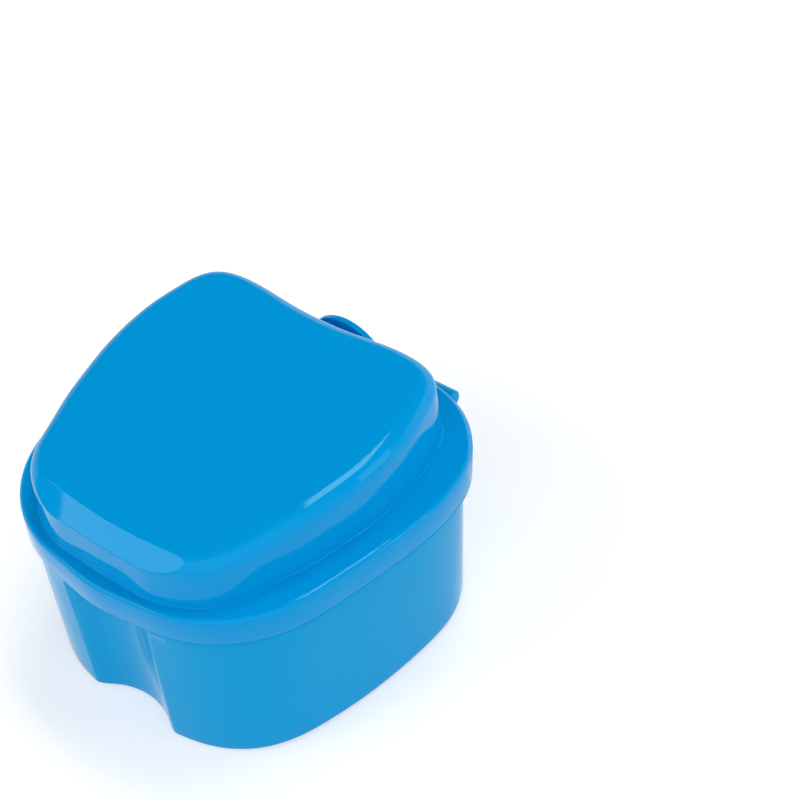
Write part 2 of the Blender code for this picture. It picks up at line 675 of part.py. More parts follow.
def make_basket(collection, cutters, shell_material):
    theta = tank_angles()
    neck = SKIRT_THICKNESS + CLEARANCE + NECK_THICKNESS
    lip_bottom = SEAT_HEIGHT + CLEARANCE
    lip_top = lip_bottom + LIP_THICKNESS
    lip = tank_radius(theta, SEAT_HEIGHT, NECK_THICKNESS, neck) - CLEARANCE
    floor_top = BASKET_FLOOR_BOTTOM + BASKET_FLOOR_THICKNESS
    rings = []
    for angle_share in (0.0, 0.5, 1.0):
        angle = angle_share * math.pi / 2
        inset = BASKET_CORNER * (1 - math.sin(angle))
        height = BASKET_FLOOR_BOTTOM + BASKET_CORNER * (1 - math.cos(angle))
        rings.append(ring(theta, basket_radius(theta, height, inset), height))
    top_wall = basket_radius(theta, lip_bottom, 0.0)
    rings.append(ring(theta, top_wall, lip_bottom))
    rings.append(ring(theta, lip - LIP_ROUND, lip_bottom))
    rings.append(ring(theta, lip, lip_bottom + LIP_ROUND))
    rings.append(ring(theta, lip, lip_top - LIP_ROUND))
    rings.append(ring(theta, lip - LIP_ROUND, lip_top))
    inside_top = basket_radius(theta, lip_top, BASKET_WALL)
    rings.append(ring(theta, inside_top + LIP_ROUND, lip_top))
    rings.append(ring(theta, inside_top, lip_top - LIP_ROUND))
    for angle_share in (0.0, 0.5, 1.0):
        angle = angle_share * math.pi / 2
        inset = BASKET_WALL + (BASKET_CORNER - BASKET_WALL / 2) * (1 - math.cos(angle))
        height = floor_top + (BASKET_CORNER - BASKET_WALL / 2) * (1 - math.sin(angle))
        rings.append(ring(theta, basket_radius(theta, height, inset), height))
    middle_low = (0.0, 0.0, BASKET_FLOOR_BOTTOM)
    middle_high = (0.0, 0.0, floor_top)
    basket = loft("strainer_basket", rings, collection, middle_low, middle_high)

    grips = []
    side_angle = math.pi / 2 - math.atan2(GRIP_Y, HALF_WIDTH)
    lip_here = float(tank_radius(np.array([side_angle]), SEAT_HEIGHT, NECK_THICKNESS, neck)[0])
    for side in (-1, 1):
        points = [(-GRIP_WIDTH / 2, -GRIP_SINK), (GRIP_WIDTH / 2, -GRIP_SINK)]
        for i in range(ROUND_SIDES + 1):
            angle = math.pi * i / ROUND_SIDES
            rise = math.sin(angle) ** GRIP_SHAPE_POWER
            points.append((GRIP_WIDTH / 2 * math.cos(angle), GRIP_HEIGHT * rise))
        grip = flat_outline("grip", points, GRIP_THICKNESS, cutters, GRIP_EDGE)
        grip_x = side * (lip_here * math.sin(side_angle) - CLEARANCE - GRIP_THICKNESS)
        place(grip, Matrix.Translation((0.0, GRIP_Y, lip_top)) @ across_x(grip_x))
        grips.append(grip)
    grip_pair = joined("grip_pair", grips, cutters)

    slots = []
    depth = BASKET_FLOOR_THICKNESS + 2 * CUT_OVERSHOOT
    for row in range(SLOT_COUNT_Y):
        y = (row - (SLOT_COUNT_Y - 1) / 2) * SLOT_PITCH_Y
        for column in range(SLOT_COUNT_X):
            x = (column - (SLOT_COUNT_X - 1) / 2) * SLOT_PITCH_X
            corner_x = abs(x) + SLOT_WIDTH / 2
            corner_y = y + math.copysign(SLOT_LENGTH / 2, y)
            angle = math.atan2(corner_x, corner_y)
            limit = float(basket_radius(np.array([angle]), BASKET_FLOOR_BOTTOM, SLOT_LIMIT)[0])
            if math.hypot(corner_x, corner_y) > limit:
                continue
            middle_z = BASKET_FLOOR_BOTTOM + BASKET_FLOOR_THICKNESS / 2
            size = (SLOT_WIDTH, SLOT_LENGTH, depth)
            slots.append(block("slot", size, (x, y, middle_z), cutters))
    for degrees in WALL_SLOT_ANGLES_DEG:
        for side in (-1, 1):
            angle = side * math.radians(degrees)
            radius = float(basket_radius(np.array([angle]), WALL_SLOT_MIDDLE_Z, 0.0)[0])
            location = (radius * math.sin(angle), radius * math.cos(angle), WALL_SLOT_MIDDLE_Z)
            size = (SLOT_WIDTH, BASKET_WALL + 2 * CUT_OVERSHOOT, WALL_SLOT_HEIGHT)
            slots.append(block("slot", size, location, cutters, -angle))
    slot_set = joined("slot_set", slots, cutters)
    boolean(basket, grip_pair, "UNION")
    boolean(basket, slot_set, "DIFFERENCE")
    finish(basket, shell_material)
    return basket


def make_pin(collection, steel):
    left = -LUG_OUTER_X + CLEARANCE
    right = LUG_OUTER_X - LUG_END_WALL - CLEARANCE
    pin = rod_along_x("hinge_pin", PIN_RADIUS, left, right, collection)
    bevel = pin.modifiers.new("ends", "BEVEL")
    bevel.width = PIN_CHAMFER
    bevel.segments = 1
    bevel.limit_method = "ANGLE"
    bevel.angle_limit = math.radians(CHAMFER_ANGLE_DEG)
    finish(pin, steel)
    return pin


def hang_on_axis(obj, name, location, collection):
    """Gives a moving piece an empty on its joint's axis as its parent."""
    location = Matrix.Translation((0.0, -ORIGIN_SHIFT_Y, 0.0)) @ location
    empty = link(bpy.data.objects.new(name, None), collection)
    empty.location = location
    obj.parent = empty
    obj.matrix_parent_inverse = Matrix.Translation(location).inverted()
    return empty


def main():
    for obj in list(bpy.data.objects):
        bpy.data.objects.remove(obj)
    case = bpy.data.collections.new("denture_case")
    cutters = bpy.data.collections.new("cutters")
    for collection in (case, cutters):
        bpy.context.scene.collection.children.link(collection)
    cutters.hide_render = True
    blue_tank = material("tank_plastic", (0.0, 0.32, 0.72), 0.22)
    blue_lid = material("lid_plastic", (0.0, 0.33, 0.74), 0.18)
    white = material("basket_plastic", (0.82, 0.84, 0.86), 0.35)
    steel = material("pin_steel", (0.62, 0.63, 0.65), 0.3, 1.0)
    make_tank(case, cutters, blue_tank)
    lid = make_lid(case, cutters, blue_lid)
    basket = make_basket(case, cutters, white)
    make_pin(case, steel)
    for obj in case.objects:
        place(obj, Matrix.Translation((0.0, -ORIGIN_SHIFT_Y, 0.0)))
    hang_on_axis(lid, "lid_axis", Vector((0.0, HINGE_Y, HINGE_Z)), case)
    hang_on_axis(basket, "basket_axis", Vector((0.0, 0.0, SEAT_HEIGHT)), case)
    for obj in list(cutters.objects):
        bpy.data.objects.remove(obj)
    bpy.data.collections.remove(cutters)


main()
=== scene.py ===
# Denture case in glossy blue plastic: tank with a finger flute, hinged lid with a tooth-shaped
# dome, hanging strainer basket and hinge pin. Metres, +Z up, -Y is the side the lid opens from.
import math

import bmesh
import bpy
import numpy as np
from mathutils import Matrix, Vector


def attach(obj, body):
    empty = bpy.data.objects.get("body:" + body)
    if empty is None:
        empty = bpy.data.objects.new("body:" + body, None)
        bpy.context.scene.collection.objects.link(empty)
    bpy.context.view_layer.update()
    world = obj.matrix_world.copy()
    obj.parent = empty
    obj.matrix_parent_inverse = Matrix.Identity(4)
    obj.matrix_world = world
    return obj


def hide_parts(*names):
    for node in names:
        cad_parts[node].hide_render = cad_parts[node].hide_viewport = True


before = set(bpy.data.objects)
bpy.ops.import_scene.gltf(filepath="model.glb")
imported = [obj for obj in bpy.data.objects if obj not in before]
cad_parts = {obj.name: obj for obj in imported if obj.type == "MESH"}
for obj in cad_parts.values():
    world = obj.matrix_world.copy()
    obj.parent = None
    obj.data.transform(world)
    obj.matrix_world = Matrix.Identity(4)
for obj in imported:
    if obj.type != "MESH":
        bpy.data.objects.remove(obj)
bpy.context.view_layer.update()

# Sizes of the case
HALF_WIDTH = 0.0425
CLEARANCE = 0.0003
PLATE_TOP = 0.0416
PLATE_THICKNESS = 0.0018
WALL = 0.0016
ORIGIN_SHIFT_Y = 0.00152125

# Plans in shares of HALF_WIDTH, right half from the front middle to the back middle
LID_PLAN_SHARES = (
    (0.000, -0.938), (0.195, -0.918), (0.395, -0.884), (0.585, -0.802), (0.740, -0.667),
    (0.847, -0.488), (0.903, -0.292), (0.947, -0.100), (0.981, 0.101), (1.000, 0.306),
    (0.990, 0.458), (0.955, 0.602), (0.879, 0.724), (0.781, 0.823), (0.650, 0.901), (0.472, 0.949),
    (0.243, 0.972), (0.000, 0.979),
)
BASE_PLAN_SHARES = (
    (0.000, -0.895), (0.236, -0.887), (0.387, -0.860), (0.529, -0.804), (0.650, -0.715),
    (0.754, -0.570), (0.819, -0.397), (0.862, -0.237), (0.893, -0.073), (0.914, 0.097),
    (0.925, 0.278), (0.914, 0.421), (0.872, 0.546), (0.796, 0.663), (0.698, 0.747), (0.565, 0.805),
    (0.282, 0.831), (0.000, 0.833),
)
DOME_PLAN_SHARES = (
    (0.000, -0.846), (0.160, -0.842), (0.296, -0.833), (0.410, -0.797), (0.518, -0.734),
    (0.609, -0.632), (0.668, -0.488), (0.729, -0.316), (0.775, -0.135), (0.809, 0.036),
    (0.822, 0.178), (0.821, 0.318), (0.807, 0.431), (0.780, 0.546), (0.739, 0.660), (0.668, 0.733),
    (0.560, 0.764), (0.425, 0.767), (0.285, 0.755), (0.132, 0.742), (0.000, 0.739),
)

# Skirt of the lid
SKIRT_THICKNESS = 0.0016
SKIRT_FLARE = 0.0003
SKIRT_BOTTOM = 0.0355
SKIRT_END_BOTTOM = 0.0401
SKIRT_RAMP_START = 0.588 * HALF_WIDTH
SKIRT_RAMP_END = 0.682 * HALF_WIDTH
EDGE_ROUND = 0.0010
LIP_EDGE = 0.0003

# Dome of the lid
DOME_HALF_WIDTH = 0.822 * HALF_WIDTH
DOME_TOP_AT_MIDDLE = 0.0549
DOME_TILT = 0.065
DOME_FOLD_Y = -0.032055
DOME_FRONT_SLOPE = 0.76
DOME_FACET_BEND = 4.5
DOME_CROWN = 0.0003
FRONT_FOLD_BLEND = 0.0001
DOME_DRAFT = 0.0004
DOME_FOOT_ROUND = 0.0002
DOME_TOP_ROUND = 0.0036
FACET_LEAST_SPAN = 0.0002
FOLD_LIMIT_SHARE = 0.975

# Tongue behind the dome
TONGUE_RADIUS = 0.0103
TONGUE_CENTRE_Z = 0.0396
TONGUE_CENTRE_Y = 0.0376075
TONGUE_THICKNESS = 0.0014
TONGUE_ROOT_DEPTH = 0.0010
TONGUE_EDGE = 0.0003

# Tank
FLOOR_THICKNESS = 0.0018
BASE_ROUND = 0.0012
FLANGE_BOTTOM = 0.0339
FLANGE_TOP = 0.0351
FLANGE_INSET = 0.0005
FLANGE_UNDERCUT = 0.0005
BODY_INSET_FRONT = 0.0009
BODY_INSET_BACK = 0.0025
NECK_THICKNESS = 0.0013
NECK_TAPER = 0.0001
RIM_ROUND = 0.0004
BACK_FLAT_Y = 0.0385075
BACK_FLAT_BLEND = 0.0010
SEAT_HEIGHT = 0.0306
SEAT_WIDTH = 0.0013
SEAT_TAPER_HEIGHT = 0.0040
INSIDE_ROUND = 0.0024
STAND_RECESS = 0.0003
STAND_WIDTH = 0.0030
GATE_RADIUS = 0.0022
GATE_RING_SHARES = (0.6, 1.0)

# Finger flute in the front of the tank
FLUTE_RADIUS = 0.0158
FLUTE_DEEPEST_Y = -0.033865
FLUTE_EDGE_BLEND = 0.0017
FLUTE_EDGE_BLEND_TOP = 0.0022
FLUTE_BLEND_START = 0.0195
FLUTE_FACET_SINK = 0.00022
FLUTE_FACET_TURN = math.radians(19.0)

# Hinge
HINGE_Y = 0.0409075
HINGE_Z = 0.0375
KNUCKLE_RADIUS = 0.0020
BORE_RADIUS = 0.00098
BARREL_HALF_LENGTH = 0.0172125
LUG_OUTER_X = 0.0248125
LUG_END_WALL = 0.0010
LUG_ROOT_Y = 0.0378075
LUG_GUSSET_DROP = 0.0036
LUG_GUSSET_Y = 0.0389075
LUG_EDGE = 0.0004
WEB_REACH = 0.0006
BARREL_START_DEG = 54.0
BARREL_SWEEP_DEG = 234.0
LUG_START_DEG = -45.0
LUG_SWEEP_DEG = 135.0

# Strainer basket
BASKET_WALL = 0.0012
BASKET_FLOOR_BOTTOM = 0.0090
BASKET_FLOOR_THICKNESS = 0.0014
BASKET_GAP_TOP = 0.0006
BASKET_GAP_BOTTOM = 0.0022
BASKET_CORNER = 0.0022
LIP_THICKNESS = 0.0014
LIP_ROUND = 0.0003
GRIP_WIDTH = 0.0160
GRIP_HEIGHT = 0.0050
GRIP_THICKNESS = 0.0016
GRIP_Y = 0.0100
GRIP_SINK = 0.0010
GRIP_EDGE = 0.0003
GRIP_SHAPE_POWER = 0.5
SLOT_WIDTH = 0.0024
SLOT_PITCH_X = 0.0056
SLOT_PITCH_Y = 0.01485
SLOT_LENGTH = 0.0118
SLOT_COUNT_X = 9
SLOT_COUNT_Y = 4
SLOT_LIMIT = 0.0052
WALL_SLOT_HEIGHT = 0.0110
WALL_SLOT_MIDDLE_Z = 0.0215
WALL_SLOT_ANGLES_DEG = (28, 44, 62, 80, 98, 116, 134, 150)
CUT_OVERSHOOT = 0.0040

# Counts of sides
LID_SIDES = 720
TANK_SIDES_BACK = 520
TANK_SIDES_FRONT = 200
BASKET_SIDES_BACK = 260
BASKET_SIDES_FRONT = 100
FRONT_HALF_ANGLE = math.radians(23.0)
ROUND_SIDES = 96
ROUND_STEPS = 6
FOOT_STEPS = 8
RIM_STEPS = 4
LIP_STEPS = 3
SLOT_END_STEPS = 8
TANK_WALL_LEVELS = 15
TANK_INSIDE_LEVELS = 10
BASKET_LEVELS = 8

# Where the rings of the dome's skin lie: shares of the way to each of its borders
CAP_SHARES = (0.06, 0.2, 0.35, 0.5, 0.65, 0.78, 0.88, 0.94, 0.98, 1.0)
APPROACH_SHARES = (0.3, 0.6, 0.8, 0.88, 0.94, 1.0)
FACET_SHARES = (0.012, 0.025, 0.04, 0.1, 0.3, 0.6, 0.85, 0.95, 0.98, 1.0)
TOP_ROUND_RINGS = 18

# Limits of the shape functions
FAR_SHARE = 4.0
BACK_COSINE_LIMIT = 0.2
FACET_SAMPLES = 600
PROBE_SHARE = 1e-4
ANGLE_STEP = 1e-4
WELD_DISTANCE = 1e-6
TINY = 1e-9

TO_FRAME = Matrix.Translation((0.0, -ORIGIN_SHIFT_Y, 0.0))

# Surfaces: colour, its deeper shade, roughness, specular level, scratches, tint of the shine
TANK_LOOK = ((0.0, 0.330, 0.672), (0.0, 0.320, 0.657), 0.12, 0.10, 0.8, (0.50, 1.0, 0.95))
LID_LOOK = ((0.0, 0.306, 0.690), (0.0, 0.298, 0.678), 0.04, 0.20, 0.5, (0.50, 1.0, 0.95))
BASKET_LOOK = ((0.80, 0.81, 0.82), (0.76, 0.77, 0.79), 0.30, 0.5, 0.6, (1.0, 1.0, 1.0))
STEEL_COLOUR = (0.60, 0.61, 0.63, 1.0)
STEEL_DEEP_COLOUR = (0.50, 0.51, 0.53, 1.0)
PLASTIC_IOR = 1.46
SHADE_SCALE = 26.0
HAZE_SCALE = 70.0
SPECK_SCALE = 900.0
FLOW_SCALE = 38.0
GRAIN_SCALE = 2600.0
SCRATCH_LANES = ((0.35, 900.0), (-0.9, 700.0), (1.45, 1100.0))
SCRATCH_TILT = 0.2
SCRATCH_HAZE = 0.10
FLOW_HEIGHT = 4e-5
GRAIN_HEIGHT = 1.2e-6
SPECK_HEIGHT = 1e-5
SCRATCH_HEIGHT = 4e-6
LINE_HEIGHT = 4e-6
SHARP_ANGLE = math.radians(32.0)

# Floor
FLOOR_SIZE = 6.0
FLOOR_DROP = 0.0002
FLOOR_TONE = (0.79, 0.81)
FLOOR_LIFT = 0.35

# Room: its levels, and the directions and heights where each one counts
ROOM_COLOUR = (0.97, 0.985, 1.0, 1.0)
ROOM_LEVEL = 0.05
HORIZON_LEVEL = 1.0
HORIZON_HEIGHTS = (0.25, 0.45)
BACKDROP_LEVEL = 1.6
BACKDROP_DIRECTION = Vector((0.10, 0.99, 0.12)).normalized()
BACKDROP_ANGLES_DEG = (35.0, 52.0)
BACKDROP_HEIGHTS = (0.42, 0.58)
FRONT_LEVEL = 1.3
FRONT_DIRECTION = Vector((0.56, -0.66, 0.50)).normalized()
FRONT_ANGLES_DEG = (25.0, 60.0)
FLAG_LEVEL = 0.04
FLAG_DIRECTION = Vector((-0.50, 0.38, 0.775)).normalized()
FLAG_ANGLES_DEG = (14.0, 21.0)

# Lamps: name, direction from the case, width and height, radiance, side that the height follows
LIGHT_TARGET = Vector((0.0, 0.0, 0.045))
LIGHT_DISTANCE = 1.0
LAMPS = (
    ("front_box", (-0.495, -0.615, 0.61), (0.56, 0.30), 4.6, (0.0, 0.0, 1.0)),
    ("top_panel", (0.05, 0.31, 0.95), (0.56, 0.18), 9.5, (0.25, 0.95, -0.30)),
    ("side_panel", (0.85, 0.33, 0.42), (0.62, 0.24), 2.6, (0.0, 1.0, 0.0)),
)

# Camera, fitted to the outline in the photo
SENSOR_WIDTH = 36.0
CAMERA_LENS = 82.467
CAMERA_CLIP = (0.01, 20.0)
CAMERA_PLACE = Vector((0.20081, -0.16416 - ORIGIN_SHIFT_Y, 0.3000))
CAMERA_RIGHT = Vector((0.78131, 0.6186, -0.08293))
CAMERA_FORWARD = Vector((-0.49046, 0.52634, -0.69456))


def plan_radius(shares):
    """Periodic cubic through the plan's points, as radius over the angle from +Y."""
    half = [(x * HALF_WIDTH, y * HALF_WIDTH) for x, y in shares]
    left = [(-x, y) for x, y in half[-2:0:-1]]
    points = np.array(half + left)
    angle = np.unwrap(np.arctan2(points[:, 0], points[:, 1]))
    radius = np.hypot(points[:, 0], points[:, 1])
    order = np.argsort(angle % (2 * math.pi))
    knots = (angle % (2 * math.pi))[order]
    values = radius[order]
    count = len(knots)
    gaps = np.diff(np.append(knots, knots[0] + 2 * math.pi))
    matrix = np.zeros((count, count))
    right = np.zeros(count)
    for i in range(count):
        before = gaps[i - 1]
        after = gaps[i]
        following = (i + 1) % count
        matrix[i, i - 1] += before
        matrix[i, i] += 2 * (before + after)
        matrix[i, following] += after
        rise_after = (values[following] - values[i]) / after
        rise_before = (values[i] - values[i - 1]) / before
        right[i] = 6 * (rise_after - rise_before)
    bends = np.linalg.solve(matrix, right)

    def radius_at(theta):
        theta = np.asarray(theta) % (2 * math.pi)
        turned = np.where(theta < knots[0], theta + 2 * math.pi, theta)
        index = np.searchsorted(knots, turned, side="right") - 1
        following = (index + 1) % count
        gap = gaps[index]
        along = turned - knots[index]
        left_part = gap - along
        return (
            (bends[index] * left_part ** 3 + bends[following] * along ** 3) / (6 * gap)
            + (values[index] / gap - bends[index] * gap / 6) * left_part
            + (values[following] / gap - bends[following] * gap / 6) * along
        )

    return radius_at


def inset_plan(radius, theta, inset):
    """Radius of the plan moved inwards by the same distance all round."""
    here = radius(theta)
    slope = (radius(theta + ANGLE_STEP) - radius(theta - ANGLE_STEP)) / (2 * ANGLE_STEP)
    return here - inset * np.sqrt(here ** 2 + slope ** 2) / here


def rounded_min(first, second, blend):
    overlap = np.maximum(blend - np.abs(first - second), 0.0) / blend
    return np.minimum(first, second) - overlap ** 2 * blend / 4


def flute_radius(theta, growth):
    """Distance from the middle to the flute's cylinder, grown by the wall's thickness."""
    radius = FLUTE_RADIUS + growth
    centre = -FLUTE_DEEPEST_Y + FLUTE_RADIUS
    away = np.asarray(theta) - math.pi
    side = centre * np.sin(away)
    inside = radius ** 2 - side ** 2
    reach = centre * np.cos(away) - np.sqrt(np.maximum(inside, 0.0))
    return np.where((inside > 0) & (np.cos(away) > 0), reach, FAR_SHARE * HALF_WIDTH)


def back_flat_radius(theta, inset):
    cosine = np.cos(theta)
    flat = (BACK_FLAT_Y - inset) / np.maximum(cosine, BACK_COSINE_LIMIT)
    return np.where(cosine > BACK_COSINE_LIMIT, flat, FAR_SHARE * HALF_WIDTH)


def flute_blend(height):
    share = (height - FLUTE_BLEND_START) / (FLANGE_BOTTOM - FLUTE_BLEND_START)
    share = min(max(share, 0.0), 1.0)
    return FLUTE_EDGE_BLEND + share * (FLUTE_EDGE_BLEND_TOP - FLUTE_EDGE_BLEND)


def flute_facet_radius(theta, fluted, height):
    """Slim flat on each edge of the flute, which widens towards the flange."""
    share = (height - FLUTE_BLEND_START) / (FLANGE_BOTTOM - FLUTE_BLEND_START)
    reach = np.full_like(fluted, FAR_SHARE * HALF_WIDTH)
    if share <= 0:
        return reach
    away = theta - math.pi
    for side in (-1, 1):
        along = np.cos(away - side * FLUTE_FACET_TURN)
        near = (side * away < 0) & (np.abs(away) < FRONT_HALF_ANGLE)
        edge = np.max(fluted * along, where=near, initial=0.0)
        flat = (edge - share * FLUTE_FACET_SINK) / np.maximum(along, BACK_COSINE_LIMIT)
        reach = np.where(near, np.minimum(reach, flat), reach)
    return reach


lid_plan = plan_radius(LID_PLAN_SHARES)
base_plan = plan_radius(BASE_PLAN_SHARES)
dome_plan = plan_radius(DOME_PLAN_SHARES)


def body_radius(theta, height, inset):
    """Drafted wall of the tank between its base plan and its plan under the flange."""
    share = height / FLANGE_BOTTOM
    low = inset_plan(base_plan, theta, inset)
    towards_back = (1 + np.cos(theta)) / 2
    top_inset = BODY_INSET_FRONT + towards_back * (BODY_INSET_BACK - BODY_INSET_FRONT)
    high = inset_plan(lid_plan, theta, inset + top_inset)
    return low + share * (high - low)


def tank_radius(theta, height, inset, upper_inset=None):
    """Tank wall with its flute and its flat back; upper_inset counts from the lid's plan."""
    if upper_inset is None:
        wall = body_radius(theta, height, inset)
    else:
        wall = inset_plan(lid_plan, theta, upper_inset)
    wall = rounded_min(wall, back_flat_radius(theta, inset), BACK_FLAT_BLEND)
    fluted = rounded_min(wall, flute_radius(theta, inset), flute_blend(height))
    return np.minimum(fluted, flute_facet_radius(theta, fluted, height))


def ring(theta, radius, height):
    height = np.zeros_like(theta) + height
    return np.stack([radius * np.sin(theta), radius * np.cos(theta), height], axis=1)


def loft(name, rings, first_middle, last_middle):
    """Skin over rings of equal counts, closed at each end by a middle point."""
    mesh = bpy.data.meshes.new(name)
    bm = bmesh.new()
    loops = [[bm.verts.new(tuple(point)) for point in points] for points in rings]
    count = len(loops[0])
    for lower, upper in zip(loops[:-1], loops[1:]):
        for i in range(count):
            j = (i + 1) % count
            bm.faces.new((lower[i], lower[j], upper[j], upper[i]))
    for loop, middle, flip in ((loops[0], first_middle, True), (loops[-1], last_middle, False)):
        centre = bm.verts.new(tuple(middle))
        for i in range(count):
            j = (i + 1) % count
            face = (loop[j], loop[i], centre) if flip else (loop[i], loop[j], centre)
            bm.faces.new(face)
    bmesh.ops.recalc_face_normals(bm, faces=bm.faces)
    bm.to_mesh(mesh)
    bm.free()
    obj = bpy.data.objects.new(name, mesh)
    bpy.context.scene.collection.objects.link(obj)
    return obj


def flat_outline(name, points, thickness, bevel=0.0, steps=3):
    """Flat outline as a filled curve, extruded to both sides of its plane."""
    curve = bpy.data.curves.new(name, "CURVE")
    curve.dimensions = "2D"
    curve.fill_mode = "BOTH"
    curve.extrude = thickness / 2 - bevel
    curve.bevel_depth = bevel
    curve.bevel_resolution = steps
    curve.offset = -bevel
    spline = curve.splines.new("POLY")
    spline.points.add(len(points) - 1)
    for point, (x, y) in zip(spline.points, points):
        point.co = (x, y, 0.0, 1.0)
    spline.use_cyclic_u = True
    source = bpy.data.objects.new(name, curve)
    bpy.context.scene.collection.objects.link(source)
    graph = bpy.context.evaluated_depsgraph_get()
    mesh = bpy.data.meshes.new_from_object(source.evaluated_get(graph))
    bm = bmesh.new()
    bm.from_mesh(mesh)
    bmesh.ops.remove_doubles(bm, verts=bm.verts, dist=WELD_DISTANCE)
    bmesh.ops.recalc_face_normals(bm, faces=bm.faces)
    bm.to_mesh(mesh)
    bm.free()
    bpy.data.objects.remove(source)
    obj = bpy.data.objects.new(name, mesh)
    bpy.context.scene.collection.objects.link(obj)
    return obj


def place(obj, matrix):
    obj.data.transform(matrix)
    obj.data.update()
    return obj


def across_x(middle_x):
    """Turns a flat outline drawn in (y, z) so that its thickness runs along X."""
    return Matrix((
        (0.0, 0.0, 1.0, middle_x),
        (1.0, 0.0, 0.0, 0.0),
        (0.0, 1.0, 0.0, 0.0),
        (0.0, 0.0, 0.0, 1.0),
    ))


def rod_along_x(name, radius, x_from, x_to):
    bm = bmesh.new()
    bmesh.ops.create_cone(
        bm, cap_ends=True, segments=ROUND_SIDES, radius1=radius, radius2=radius,
        depth=x_to - x_from,
    )
    turn = Matrix.Rotation(math.pi / 2, 4, "Y")
    bm.transform(Matrix.Translation(((x_from + x_to) / 2, HINGE_Y, HINGE_Z)) @ turn)
    mesh = bpy.data.meshes.new(name)
    bm.to_mesh(mesh)
    bm.free()
    obj = bpy.data.objects.new(name, mesh)
    bpy.context.scene.collection.objects.link(obj)
    return obj


def joined(name, objects):
    """One mesh of several separate closed bodies."""
    mesh = bpy.data.meshes.new(name)
    bm = bmesh.new()
    for obj in objects:
        bm.from_mesh(obj.data)
        bpy.data.objects.remove(obj)
    bm.to_mesh(mesh)
    bm.free()
    obj = bpy.data.objects.new(name, mesh)
    bpy.context.scene.collection.objects.link(obj)
    return obj


def cut(target, tool):
    """Takes the tool out of the target and removes the tool."""
    modifier = target.modifiers.new("cut", "BOOLEAN")
    modifier.operation = "DIFFERENCE"
    modifier.solver = "EXACT"
    modifier.object = tool
    graph = bpy.context.evaluated_depsgraph_get()
    mesh = bpy.data.meshes.new_from_object(target.evaluated_get(graph))
    target.modifiers.clear()
    target.data = mesh
    bpy.data.objects.remove(tool)
    return target


def even_angles(count):
    return np.arange(count) * 2 * math.pi / count


def front_dense_angles(front_count, back_count):
    """Angles round the tank, closer together across the flute."""
    front = np.linspace(math.pi - FRONT_HALF_ANGLE, math.pi + FRONT_HALF_ANGLE, front_count + 1)
    rest = 2 * math.pi - 2 * FRONT_HALF_ANGLE
    back = front[-1] + rest * np.arange(1, back_count) / back_count
    return np.concatenate([front, back])


def dome_top(x, y):
    """Height of the dome's top: a tilted plane, a little crowned across."""
    return DOME_TOP_AT_MIDDLE + DOME_TILT * y - DOME_CROWN * (x / DOME_HALF_WIDTH) ** 2


def front_facet(radius, theta):
    """Height of the slanting cut at the dome's front, which bends back towards its ends."""
    at_fold = DOME_TOP_AT_MIDDLE + DOME_TILT * DOME_FOLD_Y
    fold_y = DOME_FOLD_Y + DOME_FACET_BEND * (radius * np.sin(theta)) ** 2
    return at_fold + DOME_FRONT_SLOPE * (radius * np.cos(theta) - fold_y)


def top_at(radius, theta):
    return dome_top(radius * np.sin(theta), radius * np.cos(theta))


def dome_profile(theta, inset, drop, turn_round):
    """Radius and height along the dome's skin, before the facet cuts it, by distance outwards."""
    edge = inset_plan(dome_plan, theta, inset)
    probe = edge - turn_round
    near = probe * (1 - PROBE_SHARE)
    slope = (top_at(near, theta) - top_at(probe, theta)) / (probe - near)
    start = np.arctan(slope)
    flat = edge - turn_round * (1 - np.sin(start))
    end = flat + turn_round * (math.pi / 2 - start)

    def point_at(along):
        angle = start + np.maximum(along - flat, 0.0) / turn_round
        level = np.minimum(along, flat)
        radius = level + turn_round * (np.sin(angle) - np.sin(start))
        fall = turn_round * (np.cos(start) - np.cos(angle))
        return radius, top_at(level, theta) - fall - drop

    steepest = np.arctan(DOME_FRONT_SLOPE * np.maximum(-np.cos(theta), 0.0))
    touch = flat + turn_round * np.maximum(steepest - start, 0.0)
    return point_at, flat, touch, end


def facet_span(theta, drop, point_at, flat, touch, end):
    """Where the facet begins and ends along the skin, or the place nearest to it."""
    shares = np.linspace(0.0, 1.0, FACET_SAMPLES + 1)[:, None]
    along = flat / 2 + shares * (end - flat / 2)
    radius, height = point_at(along)
    above = height + drop - front_facet(radius, theta)
    past = above > 0
    columns = np.arange(len(theta))

    def crossing(row, other_row):
        inside = above[row, columns]
        share = inside / np.maximum(inside - above[other_row, columns], TINY)
        return along[row, columns] + share * (along[other_row, columns] - along[row, columns])

    first = np.argmax(past, axis=0)
    last = FACET_SAMPLES - np.argmax(past[::-1], axis=0)
    present = past.any(axis=0)
    begin = np.where(present, crossing(first, np.maximum(first - 1, 0)), touch)
    finish = np.where(present, crossing(last, np.minimum(last + 1, FACET_SAMPLES)), touch)
    middle = (begin + finish) / 2
    half = np.maximum(finish - begin, FACET_LEAST_SPAN) / 2
    return middle - half, np.minimum(middle + half, end - FACET_LEAST_SPAN)


def dome_rings(theta, inset, drop, turn_round):
    """Rings of the dome's skin from its middle to its edge, inset and dropped for the inside."""
    point_at, flat, touch, end = dome_profile(theta, inset, drop, turn_round)
    begin, finish = facet_span(theta, drop, point_at, flat, touch, end)
    cap = np.minimum(begin * FOLD_LIMIT_SHARE, flat)
    distances = [cap * share for share in CAP_SHARES]
    distances += [cap + (begin - cap) * share for share in APPROACH_SHARES]
    distances += [begin + (finish - begin) * share for share in FACET_SHARES]
    round_shares = np.arange(1, TOP_ROUND_RINGS + 1) / TOP_ROUND_RINGS
    distances += [finish + (end - finish) * share for share in round_shares]
    rings = []
    for along in distances:
        radius, height = point_at(along)
        facet = front_facet(radius, theta) - drop
        rings.append(ring(theta, radius, rounded_min(height, facet, FRONT_FOLD_BLEND)))
    return rings


